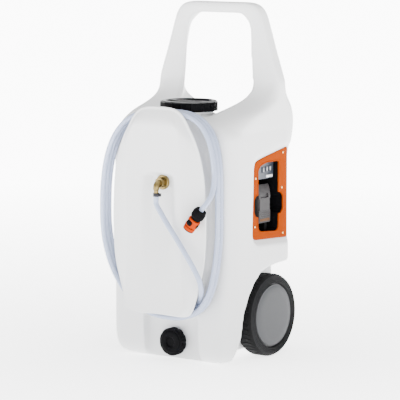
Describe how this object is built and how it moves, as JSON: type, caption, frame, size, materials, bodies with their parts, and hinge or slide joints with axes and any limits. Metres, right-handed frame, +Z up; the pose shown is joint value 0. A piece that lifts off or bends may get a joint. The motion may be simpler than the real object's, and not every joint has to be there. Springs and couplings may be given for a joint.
{
  "type": "wheeled water tank",
  "caption": "Wheeled upright water tank with a looped push handle, filler and drain caps, a hose wound on a front post with a quick connector, and a side battery bay for its pump",
  "frame": {"origin": "centre of the box round the object without its hose, on the floor under it", "axes": "+Z up, -Y is the front with the hose post, +X is the side with the battery bay"},
  "size_m": [0.3611, 0.3751, 0.85],
  "materials": {
    "tank_white": "semi-gloss moulded polyethylene",
    "black_plastic": "fine satin",
    "seal": "matt",
    "steel": "plain",
    "tyre": "matt",
    "rim": "matt",
    "hub": "satin",
    "bush": "satin",
    "frame_orange": "satin",
    "panel": "satin",
    "key": "satin",
    "battery_black": "satin",
    "battery_grey": "satin",
    "button_red": "satin",
    "brass": "turned",
    "clamp": "dark",
    "hose": "clear with a weave",
    "connector_orange": "satin"
  },
  "bodies": {
    "tank": {"tank_shell": "tank_white", "filler_neck": "tank_white", "drain_spout": "tank_white", "axle": "steel", "bay_frame": "frame_orange", "bay_tub": "black_plastic", "control_panel": "panel", "terminal_block": "black_plastic", "pump_base": "rim", "pump_motor": "steel", "pump_head": "black_plastic", "suction_tube": "hose", "strainer": "black_plastic", "outlet_tube": "hose", "elbow_fitting": "brass", "fitting_nut": "brass", "fitting_lock_nut": "brass", "hose_clamp": "clamp", "clamp_screw": "steel", "hose_lead": "hose", "hose_coil": "hose", "hose_tail": "hose", "connector_core": "black_plastic", "bay_screw_1": "steel", "bay_screw_2": "steel", "bay_screw_3": "steel", "bay_screw_4": "steel", "bay_screw_5": "steel", "wheel_left_bush": "bush", "wheel_left_retainer": "steel", "wheel_right_bush": "bush", "wheel_right_retainer": "steel"},
    "filler_seal": {"filler_gasket": "seal"},
    "filler_cap": {"filler_cap": "black_plastic", "filler_cap_ring": "black_plastic"},
    "drain_seal": {"drain_gasket": "seal"},
    "drain_cap": {"drain_cap": "black_plastic"},
    "wheel_left": {"wheel_left_tyre": "tyre", "wheel_left_rim": "rim", "wheel_left_hub_cap": "hub"},
    "wheel_right": {"wheel_right_tyre": "tyre", "wheel_right_rim": "rim", "wheel_right_hub_cap": "hub"},
    "battery": {"battery_case": "battery_black", "battery_cover": "battery_grey"},
    "release_front": {"battery_release_front": "button_red"},
    "release_rear": {"battery_release_rear": "button_red"},
    "key_1": {"control_key_1": "key"},
    "key_2": {"control_key_2": "key"},
    "key_3": {"control_key_3": "key"},
    "collar": {"connector_collar": "black_plastic"},
    "sleeve": {"connector_sleeve": "connector_orange"}
  },
  "joints": [
    {"name": "wheel_left_roll", "type": "hinge", "parent": "tank", "child": "wheel_left", "pos_m": [-0.15, 0.08775, 0.1], "axis": [1, 0, 0], "continuous": true},
    {"name": "wheel_right_roll", "type": "hinge", "parent": "tank", "child": "wheel_right", "pos_m": [0.15, 0.08775, 0.1], "axis": [1, 0, 0], "continuous": true},
    {"name": "filler_lift", "type": "slide", "parent": "tank", "child": "filler_seal", "axis": [0, 0, 1], "range_m": [0, 0.0095]},
    {"name": "filler_turn", "type": "hinge", "parent": "filler_seal", "child": "filler_cap", "pos_m": [0, -0.02225, 0.6008], "axis": [0, 0, 1], "range_deg": [0, 540]},
    {"name": "drain_lift", "type": "slide", "parent": "tank", "child": "drain_seal", "axis": [0, -1, 0], "range_m": [0, 0.0095]},
    {"name": "drain_turn", "type": "hinge", "parent": "drain_seal", "child": "drain_cap", "pos_m": [0, -0.10175, 0.044], "axis": [0, -1, 0], "range_deg": [0, 540]},
    {"name": "battery_slide", "type": "slide", "parent": "tank", "child": "battery", "axis": [1, 0, 0], "range_m": [0, 0.14]},
    {"name": "release_front_press", "type": "slide", "parent": "battery", "child": "release_front", "axis": [0, 1, 0], "range_m": [0, 0.0025], "stiffness_N_per_m": 600, "springref_m": -0.002},
    {"name": "release_rear_press", "type": "slide", "parent": "battery", "child": "release_rear", "axis": [0, -1, 0], "range_m": [0, 0.0025], "stiffness_N_per_m": 600, "springref_m": -0.002},
    {"name": "key_1_press", "type": "slide", "parent": "tank", "child": "key_1", "axis": [-1, 0, 0], "range_m": [0, 0.0012], "stiffness_N_per_m": 500, "springref_m": -0.001},
    {"name": "key_2_press", "type": "slide", "parent": "tank", "child": "key_2", "axis": [-1, 0, 0], "range_m": [0, 0.0012], "stiffness_N_per_m": 500, "springref_m": -0.001},
    {"name": "key_3_press", "type": "slide", "parent": "tank", "child": "key_3", "axis": [-1, 0, 0], "range_m": [0, 0.0012], "stiffness_N_per_m": 500, "springref_m": -0.001},
    {"name": "collar_turn", "type": "hinge", "parent": "tank", "child": "collar", "pos_m": [0.139, -0.16775, 0.379], "axis": [-0.5811, -0.0926, -0.8085], "range_deg": [0, 90]},
    {"name": "sleeve_slide", "type": "slide", "parent": "tank", "child": "sleeve", "axis": [0.5811, 0.0926, 0.8085], "range_m": [0, 0.004], "stiffness_N_per_m": 500, "springref_m": -0.002}
  ],
  "couplings": [
    {"joint": "filler_lift", "follows": "filler_turn", "m_per_rad": 0.001},
    {"joint": "drain_lift", "follows": "drain_turn", "m_per_rad": 0.001}
  ]
}
